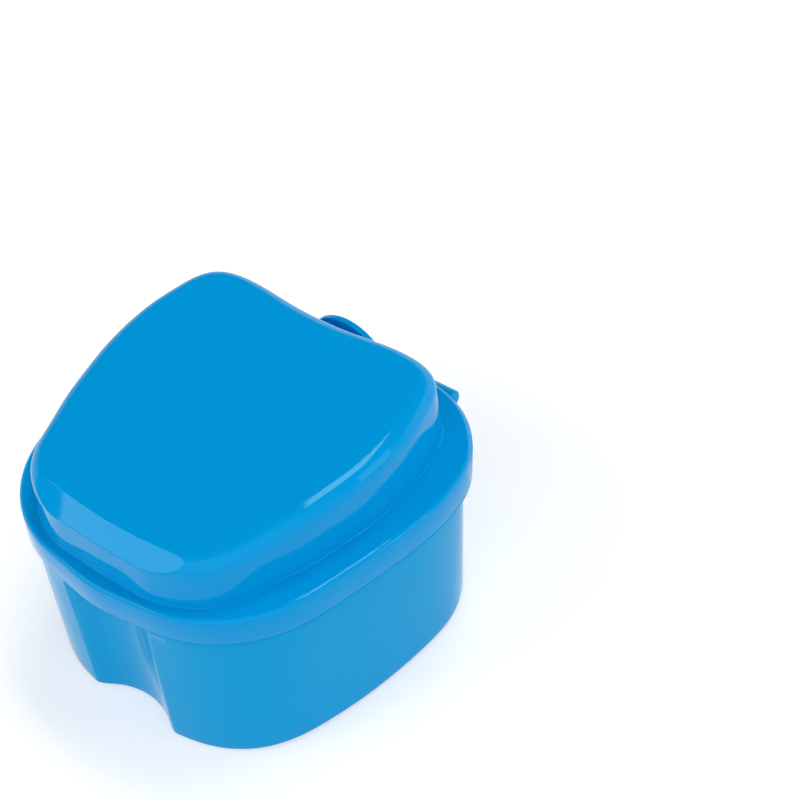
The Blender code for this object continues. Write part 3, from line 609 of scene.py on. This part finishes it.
def quarter_angles(steps):
    """Angles of a quarter turn, for a rounded edge."""
    return [i / steps * math.pi / 2 for i in range(steps + 1)]


def make_lid():
    theta = even_angles(LID_SIDES)
    rings = dome_rings(theta, 0.0, 0.0, DOME_TOP_ROUND)
    for angle in quarter_angles(FOOT_STEPS):
        outward = -DOME_DRAFT - DOME_FOOT_ROUND * (1 - math.cos(angle))
        height = PLATE_TOP + DOME_FOOT_ROUND * (1 - math.sin(angle))
        rings.append(ring(theta, inset_plan(dome_plan, theta, outward), height))
    for angle in quarter_angles(ROUND_STEPS):
        inset = SKIRT_FLARE + EDGE_ROUND * (1 - math.sin(angle))
        height = PLATE_TOP - EDGE_ROUND * (1 - math.cos(angle))
        rings.append(ring(theta, inset_plan(lid_plan, theta, inset), height))
    outer = lid_plan(theta)
    back = outer * np.cos(theta)
    share = np.clip((back - SKIRT_RAMP_START) / (SKIRT_RAMP_END - SKIRT_RAMP_START), 0.0, 1.0)
    bottom = SKIRT_BOTTOM + (share ** 2 * (3 - 2 * share)) * (SKIRT_END_BOTTOM - SKIRT_BOTTOM)
    for angle in quarter_angles(LIP_STEPS):
        inset = LIP_EDGE * (1 - math.cos(angle))
        height = bottom + LIP_EDGE * (1 - math.sin(angle))
        rings.append(ring(theta, inset_plan(lid_plan, theta, inset), height))
    for angle in quarter_angles(LIP_STEPS):
        inset = SKIRT_THICKNESS - LIP_EDGE * (1 - math.sin(angle))
        height = bottom + LIP_EDGE * (1 - math.cos(angle))
        rings.append(ring(theta, inset_plan(lid_plan, theta, inset), height))
    under = PLATE_TOP - PLATE_THICKNESS
    rings.append(ring(theta, inset_plan(lid_plan, theta, SKIRT_THICKNESS), under))
    inside_foot = WALL - DOME_DRAFT
    for angle in quarter_angles(LIP_STEPS):
        inset = inside_foot - RIM_ROUND * (1 - math.sin(angle))
        height = under + RIM_ROUND * (1 - math.cos(angle))
        rings.append(ring(theta, inset_plan(dome_plan, theta, inset), height))
    rings.extend(reversed(dome_rings(theta, WALL, WALL, DOME_TOP_ROUND / 2)))
    top = float(dome_top(0.0, 0.0))
    lid = loft("lid_shell", rings, (0.0, 0.0, top), (0.0, 0.0, top - WALL))

    root = PLATE_TOP - TONGUE_ROOT_DEPTH - TONGUE_CENTRE_Z
    start = math.asin(root / TONGUE_RADIUS)
    half_disc = []
    for i in range(ROUND_SIDES + 1):
        angle = start + (math.pi - 2 * start) * i / ROUND_SIDES
        half_disc.append((TONGUE_RADIUS * math.cos(angle), TONGUE_RADIUS * math.sin(angle)))
    tongue = flat_outline("lid_tongue", half_disc, TONGUE_THICKNESS, TONGUE_EDGE)
    upright = Matrix.Rotation(math.pi / 2, 4, "X")
    place(tongue, Matrix.Translation((0.0, TONGUE_CENTRE_Y, TONGUE_CENTRE_Z)) @ upright)

    web_top = PLATE_TOP - PLATE_THICKNESS + WEB_REACH
    barrel_points = [(HINGE_Y - KNUCKLE_RADIUS, web_top), (HINGE_Y, web_top)]
    for i in range(ROUND_SIDES + 1):
        angle = math.radians(BARREL_START_DEG - BARREL_SWEEP_DEG * i / ROUND_SIDES)
        barrel_points.append((
            HINGE_Y + KNUCKLE_RADIUS * math.cos(angle),
            HINGE_Z + KNUCKLE_RADIUS * math.sin(angle),
        ))
    barrel = flat_outline("lid_barrel", barrel_points, 2 * BARREL_HALF_LENGTH)
    place(barrel, across_x(0.0))
    bore_end = BARREL_HALF_LENGTH + CUT_OVERSHOOT
    cut(barrel, rod_along_x("barrel_bore", BORE_RADIUS, -bore_end, bore_end))
    return lid, tongue, barrel


def make_tank():
    theta = front_dense_angles(TANK_SIDES_FRONT, TANK_SIDES_BACK)
    neck_inset = SKIRT_THICKNESS + CLEARANCE
    inner_neck = neck_inset + NECK_THICKNESS
    rim_top = PLATE_TOP - PLATE_THICKNESS - CLEARANCE
    rings = []
    for radius_share in GATE_RING_SHARES:
        rings.append(ring(theta, 0 * theta + GATE_RADIUS * radius_share, STAND_RECESS))
    stand_inside = BASE_ROUND + STAND_WIDTH
    rings.append(ring(theta, tank_radius(theta, 0.0, stand_inside + STAND_RECESS), STAND_RECESS))
    rings.append(ring(theta, tank_radius(theta, 0.0, stand_inside), STAND_RECESS / 2))
    rings.append(ring(theta, tank_radius(theta, 0.0, stand_inside - STAND_RECESS), 0.0))
    for angle in quarter_angles(ROUND_STEPS):
        inset = BASE_ROUND * (1 - math.sin(angle))
        height = BASE_ROUND * (1 - math.cos(angle))
        rings.append(ring(theta, tank_radius(theta, height, inset), height))
    under_flange = FLANGE_BOTTOM - FLANGE_UNDERCUT
    for height in np.linspace(BASE_ROUND, under_flange, TANK_WALL_LEVELS)[1:]:
        rings.append(ring(theta, tank_radius(theta, float(height), 0.0), height))
    flange = tank_radius(theta, FLANGE_BOTTOM, 0.0, FLANGE_INSET)
    rings.append(ring(theta, flange - LIP_EDGE / 2, FLANGE_BOTTOM))
    rings.append(ring(theta, flange, FLANGE_BOTTOM + LIP_EDGE / 2))
    rings.append(ring(theta, flange, FLANGE_TOP - LIP_EDGE))
    rings.append(ring(theta, flange - LIP_EDGE / 3, FLANGE_TOP - LIP_EDGE / 3))
    rings.append(ring(theta, flange - LIP_EDGE, FLANGE_TOP))
    neck = tank_radius(theta, FLANGE_TOP, 0.0, neck_inset)
    neck = np.minimum(neck, flange - LIP_EDGE - NECK_TAPER)
    rings.append(ring(theta, neck, FLANGE_TOP))
    for angle in quarter_angles(RIM_STEPS):
        radius = neck - NECK_TAPER - RIM_ROUND * (1 - math.cos(angle))
        rings.append(ring(theta, radius, rim_top - RIM_ROUND * (1 - math.sin(angle))))
    upper_inside = tank_radius(theta, rim_top, NECK_THICKNESS, inner_neck)
    for angle in quarter_angles(RIM_STEPS):
        radius = upper_inside + RIM_ROUND * (1 - math.sin(angle))
        rings.append(ring(theta, radius, rim_top - RIM_ROUND * (1 - math.cos(angle))))
    rings.append(ring(theta, upper_inside, SEAT_HEIGHT + LIP_EDGE))
    rings.append(ring(theta, upper_inside - LIP_EDGE, SEAT_HEIGHT))
    seat = upper_inside - SEAT_WIDTH
    rings.append(ring(theta, seat + LIP_EDGE, SEAT_HEIGHT))
    rings.append(ring(theta, seat, SEAT_HEIGHT - LIP_EDGE))
    rings.append(ring(theta, seat, SEAT_HEIGHT - SEAT_TAPER_HEIGHT / 4))
    seat_foot = SEAT_HEIGHT - SEAT_TAPER_HEIGHT
    inside_foot = FLOOR_THICKNESS + INSIDE_ROUND
    for height in np.linspace(seat_foot, inside_foot, TANK_INSIDE_LEVELS):
        rings.append(ring(theta, tank_radius(theta, float(height), WALL), height))
    for angle in quarter_angles(ROUND_STEPS)[1:]:
        inset = WALL + INSIDE_ROUND * (1 - math.cos(angle))
        height = FLOOR_THICKNESS + INSIDE_ROUND * (1 - math.sin(angle))
        rings.append(ring(theta, tank_radius(theta, height, inset), height))
    tank = loft("tank_shell", rings, (0.0, 0.0, STAND_RECESS), (0.0, 0.0, FLOOR_THICKNESS))

    gusset_z = HINGE_Z - LUG_GUSSET_DROP
    lug_points = [(LUG_ROOT_Y, gusset_z), (LUG_GUSSET_Y, gusset_z)]
    lug_sides = ROUND_SIDES // 2
    for i in range(lug_sides + 1):
        angle = math.radians(LUG_START_DEG + LUG_SWEEP_DEG * i / lug_sides)
        lug_points.append((
            HINGE_Y + KNUCKLE_RADIUS * math.cos(angle),
            HINGE_Z + KNUCKLE_RADIUS * math.sin(angle),
        ))
    lug_points.append((LUG_ROOT_Y, HINGE_Z + KNUCKLE_RADIUS))
    lug_inner_x = BARREL_HALF_LENGTH + CLEARANCE
    lugs = []
    for name, side in (("tank_lug_left", -1), ("tank_lug_right", 1)):
        lug = flat_outline(name, lug_points, LUG_OUTER_X - lug_inner_x, LUG_EDGE)
        place(lug, across_x(side * (LUG_OUTER_X + lug_inner_x) / 2))
        bore = rod_along_x(
            "lug_bore", BORE_RADIUS, -LUG_OUTER_X - CUT_OVERSHOOT, LUG_OUTER_X - LUG_END_WALL,
        )
        lugs.append(cut(lug, bore))
    return [tank] + lugs


def basket_radius(theta, height, inset):
    share = min(max(height / SEAT_HEIGHT, 0.0), 1.0)
    gap = BASKET_GAP_BOTTOM + share * (BASKET_GAP_TOP - BASKET_GAP_BOTTOM)
    neck = SKIRT_THICKNESS + CLEARANCE + NECK_THICKNESS
    seat = tank_radius(theta, SEAT_HEIGHT, NECK_THICKNESS, neck) - SEAT_WIDTH
    wall = tank_radius(theta, height, WALL + gap + inset)
    return np.minimum(wall, seat - CLEARANCE - inset)


def slot_cutter(length, width, depth, matrix):
    """Slot with round ends: its length along Y, its depth along Z."""
    points = []
    for end, start in ((1, 0.0), (-1, math.pi)):
        for i in range(SLOT_END_STEPS + 1):
            angle = start + math.pi * i / SLOT_END_STEPS
            points.append((
                width / 2 * math.cos(angle),
                end * (length - width) / 2 + width / 2 * math.sin(angle),
            ))
    return place(flat_outline("slot", points, depth), matrix)


def make_basket():
    theta = front_dense_angles(BASKET_SIDES_FRONT, BASKET_SIDES_BACK)
    neck = SKIRT_THICKNESS + CLEARANCE + NECK_THICKNESS
    lip_bottom = SEAT_HEIGHT + CLEARANCE
    lip_top = lip_bottom + LIP_THICKNESS
    lip = tank_radius(theta, SEAT_HEIGHT, NECK_THICKNESS, neck) - CLEARANCE
    floor_top = BASKET_FLOOR_BOTTOM + BASKET_FLOOR_THICKNESS
    rings = []
    for angle in quarter_angles(ROUND_STEPS):
        inset = BASKET_CORNER * (1 - math.sin(angle))
        height = BASKET_FLOOR_BOTTOM + BASKET_CORNER * (1 - math.cos(angle))
        rings.append(ring(theta, basket_radius(theta, height, inset), height))
    corner_top = BASKET_FLOOR_BOTTOM + BASKET_CORNER
    for height in np.linspace(corner_top, lip_bottom, BASKET_LEVELS)[1:]:
        rings.append(ring(theta, basket_radius(theta, float(height), 0.0), height))
    rings.append(ring(theta, lip - LIP_ROUND, lip_bottom))
    rings.append(ring(theta, lip, lip_bottom + LIP_ROUND))
    rings.append(ring(theta, lip, lip_top - LIP_ROUND))
    rings.append(ring(theta, lip - LIP_ROUND / 3, lip_top - LIP_ROUND / 3))
    rings.append(ring(theta, lip - LIP_ROUND, lip_top))
    inside_top = basket_radius(theta, lip_top, BASKET_WALL)
    rings.append(ring(theta, inside_top + LIP_ROUND, lip_top))
    rings.append(ring(theta, inside_top + LIP_ROUND / 3, lip_top - LIP_ROUND / 3))
    rings.append(ring(theta, inside_top, lip_top - LIP_ROUND))
    inside_corner = BASKET_CORNER - BASKET_WALL / 2
    inside_foot = floor_top + inside_corner
    for height in np.linspace(lip_top - LIP_ROUND, inside_foot, BASKET_LEVELS)[1:-1]:
        rings.append(ring(theta, basket_radius(theta, float(height), BASKET_WALL), height))
    for angle in quarter_angles(ROUND_STEPS):
        inset = BASKET_WALL + inside_corner * (1 - math.cos(angle))
        height = floor_top + inside_corner * (1 - math.sin(angle))
        rings.append(ring(theta, basket_radius(theta, height, inset), height))
    basket = loft("basket_shell", rings, (0.0, 0.0, BASKET_FLOOR_BOTTOM), (0.0, 0.0, floor_top))

    slots = []
    depth = BASKET_FLOOR_THICKNESS + 2 * CUT_OVERSHOOT
    middle_z = BASKET_FLOOR_BOTTOM + BASKET_FLOOR_THICKNESS / 2
    for row in range(SLOT_COUNT_Y):
        y = (row - (SLOT_COUNT_Y - 1) / 2) * SLOT_PITCH_Y
        for column in range(SLOT_COUNT_X):
            x = (column - (SLOT_COUNT_X - 1) / 2) * SLOT_PITCH_X
            corner_x = abs(x) + SLOT_WIDTH / 2
            corner_y = y + math.copysign(SLOT_LENGTH / 2, y)
            angle = math.atan2(corner_x, corner_y)
            limit = float(basket_radius(np.array([angle]), BASKET_FLOOR_BOTTOM, SLOT_LIMIT)[0])
            if math.hypot(corner_x, corner_y) > limit:
                continue
            where = Matrix.Translation((x, y, middle_z))
            slots.append(slot_cutter(SLOT_LENGTH, SLOT_WIDTH, depth, where))
    depth = BASKET_WALL + 2 * CUT_OVERSHOOT
    upright = Matrix.Rotation(math.pi / 2, 4, "X")
    for degrees in WALL_SLOT_ANGLES_DEG:
        for side in (-1, 1):
            angle = side * math.radians(degrees)
            radius = float(basket_radius(np.array([angle]), WALL_SLOT_MIDDLE_Z, 0.0)[0])
            centre = (radius * math.sin(angle), radius * math.cos(angle), WALL_SLOT_MIDDLE_Z)
            where = Matrix.Translation(centre) @ Matrix.Rotation(-angle, 4, "Z") @ upright
            slots.append(slot_cutter(WALL_SLOT_HEIGHT, SLOT_WIDTH, depth, where))
    cut(basket, joined("slots", slots))

    pieces = [basket]
    side_angle = math.pi / 2 - math.atan2(GRIP_Y, HALF_WIDTH)
    lip_here = float(tank_radius(np.array([side_angle]), SEAT_HEIGHT, NECK_THICKNESS, neck)[0])
    for name, side in (("basket_grip_left", -1), ("basket_grip_right", 1)):
        points = [(-GRIP_WIDTH / 2, -GRIP_SINK), (GRIP_WIDTH / 2, -GRIP_SINK)]
        for i in range(ROUND_SIDES + 1):
            angle = math.pi * i / ROUND_SIDES
            rise = math.sin(angle) ** GRIP_SHAPE_POWER
            points.append((GRIP_WIDTH / 2 * math.cos(angle), GRIP_HEIGHT * rise))
        grip = flat_outline(name, points, GRIP_THICKNESS, GRIP_EDGE)
        grip_x = side * (lip_here * math.sin(side_angle) - CLEARANCE - GRIP_THICKNESS)
        place(grip, Matrix.Translation((0.0, GRIP_Y, lip_top)) @ across_x(grip_x))
        pieces.append(grip)
    return pieces


class Nodes:
    """Small helper that adds and links the nodes of one material."""

    def __init__(self, name):
        self.material = bpy.data.materials.new(name)
        self.material.use_nodes = True
        self.tree = self.material.node_tree
        self.tree.nodes.clear()
        self.output = self.tree.nodes.new("ShaderNodeOutputMaterial")

    def add(self, kind, links=None, **values):
        node = self.tree.nodes.new(kind)
        for key, value in values.items():
            setattr(node, key, value)
        for key, value in (links or {}).items():
            if isinstance(value, bpy.types.NodeSocket):
                self.tree.links.new(value, node.inputs[key])
            else:
                node.inputs[key].default_value = value
        return node

    def noise(self, coordinates, scale, detail=2.0, roughness=0.5):
        links = {"Vector": coordinates, "Scale": scale, "Detail": detail, "Roughness": roughness}
        return self.add("ShaderNodeTexNoise", links).outputs["Fac"]

    def stretched(self, coordinates, scale, rotation):
        links = {"Vector": coordinates, "Scale": scale, "Rotation": rotation}
        return self.add("ShaderNodeMapping", links).outputs["Vector"]

    def remap(self, value, from_low, from_high, to_low, to_high):
        links = {
            "Value": value, "From Min": from_low, "From Max": from_high,
            "To Min": to_low, "To Max": to_high,
        }
        return self.add("ShaderNodeMapRange", links).outputs["Result"]

    def math(self, operation, first, second):
        return self.add("ShaderNodeMath", {0: first, 1: second}, operation=operation).outputs[0]

    def bump(self, height, distance, normal=None):
        links = {"Height": height, "Distance": distance, "Strength": 1.0}
        if normal is not None:
            links["Normal"] = normal
        return self.add("ShaderNodeBump", links).outputs["Normal"]


def moulded_plastic(name, colour, deep_colour, roughness, specular, scratch_level, tint):
    """Moulded plastic: slight flow waviness, fine scratches, dull specks and shade changes."""
    n = Nodes(name)
    where = n.add("ShaderNodeTexCoord").outputs["Object"]
    shade = n.remap(n.noise(where, SHADE_SCALE, 2.0), 0.3, 0.7, 0.0, 1.0)
    mix = n.add("ShaderNodeMix", data_type="RGBA")
    n.tree.links.new(shade, mix.inputs[0])
    mix.inputs[6].default_value = (*colour, 1.0)
    mix.inputs[7].default_value = (*deep_colour, 1.0)
    haze = n.noise(where, HAZE_SCALE, 4.0, 0.6)
    total = n.remap(haze, 0.3, 0.75, roughness * 0.85, roughness * 1.25)
    height = None
    for turn, fine in SCRATCH_LANES:
        lane = n.stretched(where, (fine, fine * 0.02, fine * 0.3), (0.0, SCRATCH_TILT, turn))
        streak = n.remap(n.noise(lane, 1.0, 0.0), 0.705, 0.76, 0.0, 1.0)
        patch = n.remap(n.noise(where, 40.0 + 10.0 * turn, 1.0), 0.5, 0.62, 0.0, scratch_level)
        scratch = n.math("MULTIPLY", streak, patch)
        total = n.math("ADD", total, n.math("MULTIPLY", scratch, SCRATCH_HAZE))
        height = scratch if height is None else n.math("ADD", height, scratch)
    speck = n.remap(n.noise(where, SPECK_SCALE, 0.0), 0.80, 0.86, 0.0, 1.0)
    flow = n.bump(n.noise(where, FLOW_SCALE, 1.0), FLOW_HEIGHT)
    grain = n.bump(n.noise(where, GRAIN_SCALE, 2.0), GRAIN_HEIGHT, flow)
    dust = n.bump(speck, SPECK_HEIGHT, grain)
    scratched = n.bump(n.math("MULTIPLY", height, -1.0), SCRATCH_HEIGHT, dust)
    shader = n.add("ShaderNodeBsdfPrincipled", {
        "Base Color": mix.outputs[2], "Roughness": total, "Normal": scratched,
        "IOR": PLASTIC_IOR, "Specular IOR Level": specular, "Specular Tint": (*tint, 1.0),
    })
    n.tree.links.new(shader.outputs["BSDF"], n.output.inputs["Surface"])
    return n.material


def drawn_steel(name):
    """Drawn wire: long fine lines along X and small changes of shine."""
    n = Nodes(name)
    where = n.add("ShaderNodeTexCoord").outputs["Object"]
    lane = n.stretched(where, (60.0, 4000.0, 4000.0), (0.0, 0.0, 0.0))
    lines = n.noise(lane, 1.0, 3.0)
    rough = n.remap(lines, 0.3, 0.7, 0.22, 0.4)
    normal = n.bump(lines, LINE_HEIGHT)
    ramp = n.add("ShaderNodeMix", data_type="RGBA")
    n.tree.links.new(n.remap(n.noise(where, 300.0, 2.0), 0.3, 0.7, 0.0, 1.0), ramp.inputs[0])
    ramp.inputs[6].default_value = STEEL_COLOUR
    ramp.inputs[7].default_value = STEEL_DEEP_COLOUR
    shader = n.add("ShaderNodeBsdfPrincipled", {
        "Base Color": ramp.outputs[2], "Roughness": rough, "Normal": normal, "Metallic": 1.0,
    })
    n.tree.links.new(shader.outputs["BSDF"], n.output.inputs["Surface"])
    return n.material


def dress(objects, body, node, material):
    """Gives the pieces their material and body, and hides the CAD node that they replace."""
    for obj in objects:
        place(obj, TO_FRAME)
        obj.data.materials.clear()
        obj.data.materials.append(material)
        obj.data.shade_smooth()
        obj.data.set_sharp_from_angle(angle=SHARP_ANGLE)
        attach(obj, body)
    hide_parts(node)


def floor_material():
    """Pale floor that the camera sees as white where nothing shades it."""
    n = Nodes("pale_floor")
    where = n.add("ShaderNodeTexCoord").outputs["Object"]
    tone = n.remap(n.noise(where, 4.0, 3.0), 0.3, 0.7, *FLOOR_TONE)
    colour = n.add("ShaderNodeCombineColor", {"Red": tone, "Green": tone, "Blue": tone})
    plain = n.add("ShaderNodeBsdfDiffuse", {"Color": colour.outputs["Color"]})
    path = n.add("ShaderNodeLightPath").outputs
    seen = n.math("MAXIMUM", path["Is Camera Ray"], path["Is Glossy Ray"])
    seen = n.math("MAXIMUM", seen, path["Is Transmission Ray"])
    lift = n.add("ShaderNodeEmission", {"Color": (1.0, 1.0, 1.0, 1.0), "Strength": FLOOR_LIFT})
    both = n.add("ShaderNodeAddShader", {0: plain.outputs[0], 1: lift.outputs[0]})
    mixed = n.add("ShaderNodeMixShader", {0: seen, 1: plain.outputs[0], 2: both.outputs[0]})
    n.tree.links.new(mixed.outputs[0], n.output.inputs["Surface"])
    return n.material


def area_light(name, direction, size, radiance, across):
    """Rectangular lamp of an even radiance that faces the case; across gives its size_y side."""
    lamp = bpy.data.lights.new(name, "AREA")
    lamp.shape = "RECTANGLE"
    lamp.size, lamp.size_y = size
    lamp.energy = radiance * math.pi * size[0] * size[1]
    obj = bpy.data.objects.new(name, lamp)
    bpy.context.scene.collection.objects.link(obj)
    away = Vector(direction).normalized()
    side = Vector(across).cross(away).normalized()
    upright = away.cross(side)
    turn = Matrix((side, upright, away)).transposed()
    obj.matrix_world = Matrix.Translation(LIGHT_TARGET + away * LIGHT_DISTANCE) @ turn.to_4x4()


tank_plastic = moulded_plastic("tank_blue", *TANK_LOOK)
lid_plastic = moulded_plastic("lid_blue", *LID_LOOK)
basket_plastic = moulded_plastic("basket_white", *BASKET_LOOK)
steel = drawn_steel("pin_steel")

dress(make_lid(), "lid", "lid", lid_plastic)
dress(make_tank(), "tank", "tank", tank_plastic)
dress(make_basket(), "basket", "strainer_basket", basket_plastic)
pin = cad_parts["hinge_pin"]
pin.data.materials.clear()
pin.data.materials.append(steel)

bpy.ops.mesh.primitive_plane_add(size=FLOOR_SIZE, location=(0.0, 0.0, -FLOOR_DROP))
floor = bpy.context.object
floor.name = "floor"
floor.data.materials.append(floor_material())

world = bpy.data.worlds.new("studio")
bpy.context.scene.world = world
world.use_nodes = True
tree = world.node_tree
tree.nodes.clear()


def towards(direction, angles_deg):
    """Share that is 1 within the first angle of a direction and 0 beyond the second."""
    narrow_deg, wide_deg = angles_deg
    dot = tree.nodes.new("ShaderNodeVectorMath")
    dot.operation = "DOT_PRODUCT"
    dot.inputs[1].default_value = direction
    tree.links.new(room_place.outputs["Generated"], dot.inputs[0])
    share = tree.nodes.new("ShaderNodeMapRange")
    share.interpolation_type = "SMOOTHSTEP"
    share.inputs["From Min"].default_value = math.cos(math.radians(wide_deg))
    share.inputs["From Max"].default_value = math.cos(math.radians(narrow_deg))
    tree.links.new(dot.outputs["Value"], share.inputs["Value"])
    return share.outputs["Result"]


def below(heights):
    """Share that is 1 under the first height of the unit directions and 0 over the second."""
    share = tree.nodes.new("ShaderNodeMapRange")
    share.interpolation_type = "SMOOTHSTEP"
    share.inputs["From Min"].default_value = heights[0]
    share.inputs["From Max"].default_value = heights[1]
    share.inputs["To Min"].default_value = 1.0
    share.inputs["To Max"].default_value = 0.0
    tree.links.new(room_axes.outputs["Z"], share.inputs["Value"])
    return share.outputs["Result"]


def level_mix(share, low, high):
    """Level that goes from low to high with the share; low may be another level."""
    mix = tree.nodes.new("ShaderNodeMix")
    tree.links.new(share, mix.inputs[0])
    if isinstance(low, bpy.types.NodeSocket):
        tree.links.new(low, mix.inputs[2])
    else:
        mix.inputs[2].default_value = low
    mix.inputs[3].default_value = high
    return mix.outputs[0]


room_place = tree.nodes.new("ShaderNodeTexCoord")
room_axes = tree.nodes.new("ShaderNodeSeparateXYZ")
tree.links.new(room_place.outputs["Generated"], room_axes.inputs[0])
level = level_mix(below(HORIZON_HEIGHTS), ROOM_LEVEL, HORIZON_LEVEL)
wall = tree.nodes.new("ShaderNodeMath")
wall.operation = "MULTIPLY"
tree.links.new(towards(BACKDROP_DIRECTION, BACKDROP_ANGLES_DEG), wall.inputs[0])
tree.links.new(below(BACKDROP_HEIGHTS), wall.inputs[1])
level = level_mix(wall.outputs[0], level, BACKDROP_LEVEL)
level = level_mix(towards(FRONT_DIRECTION, FRONT_ANGLES_DEG), level, FRONT_LEVEL)
level = level_mix(towards(FLAG_DIRECTION, FLAG_ANGLES_DEG), level, FLAG_LEVEL)
out = tree.nodes.new("ShaderNodeOutputWorld")
room = tree.nodes.new("ShaderNodeBackground")
room.inputs["Color"].default_value = ROOM_COLOUR
tree.links.new(level, room.inputs["Strength"])
tree.links.new(room.outputs[0], out.inputs["Surface"])

for lamp_settings in LAMPS:
    area_light(*lamp_settings)

camera_data = bpy.data.cameras.new("camera")
camera_data.sensor_width = SENSOR_WIDTH
camera_data.lens = CAMERA_LENS
camera_data.clip_start, camera_data.clip_end = CAMERA_CLIP
camera = bpy.data.objects.new("camera", camera_data)
bpy.context.scene.collection.objects.link(camera)
back = -CAMERA_FORWARD.normalized()
up = back.cross(CAMERA_RIGHT.normalized()).normalized()
right = up.cross(back)
turn = Matrix((right, up, back)).transposed()
camera.matrix_world = Matrix.Translation(CAMERA_PLACE) @ turn.to_4x4()
bpy.context.scene.camera = camera
bpy.context.scene.view_settings.view_transform = "Standard"
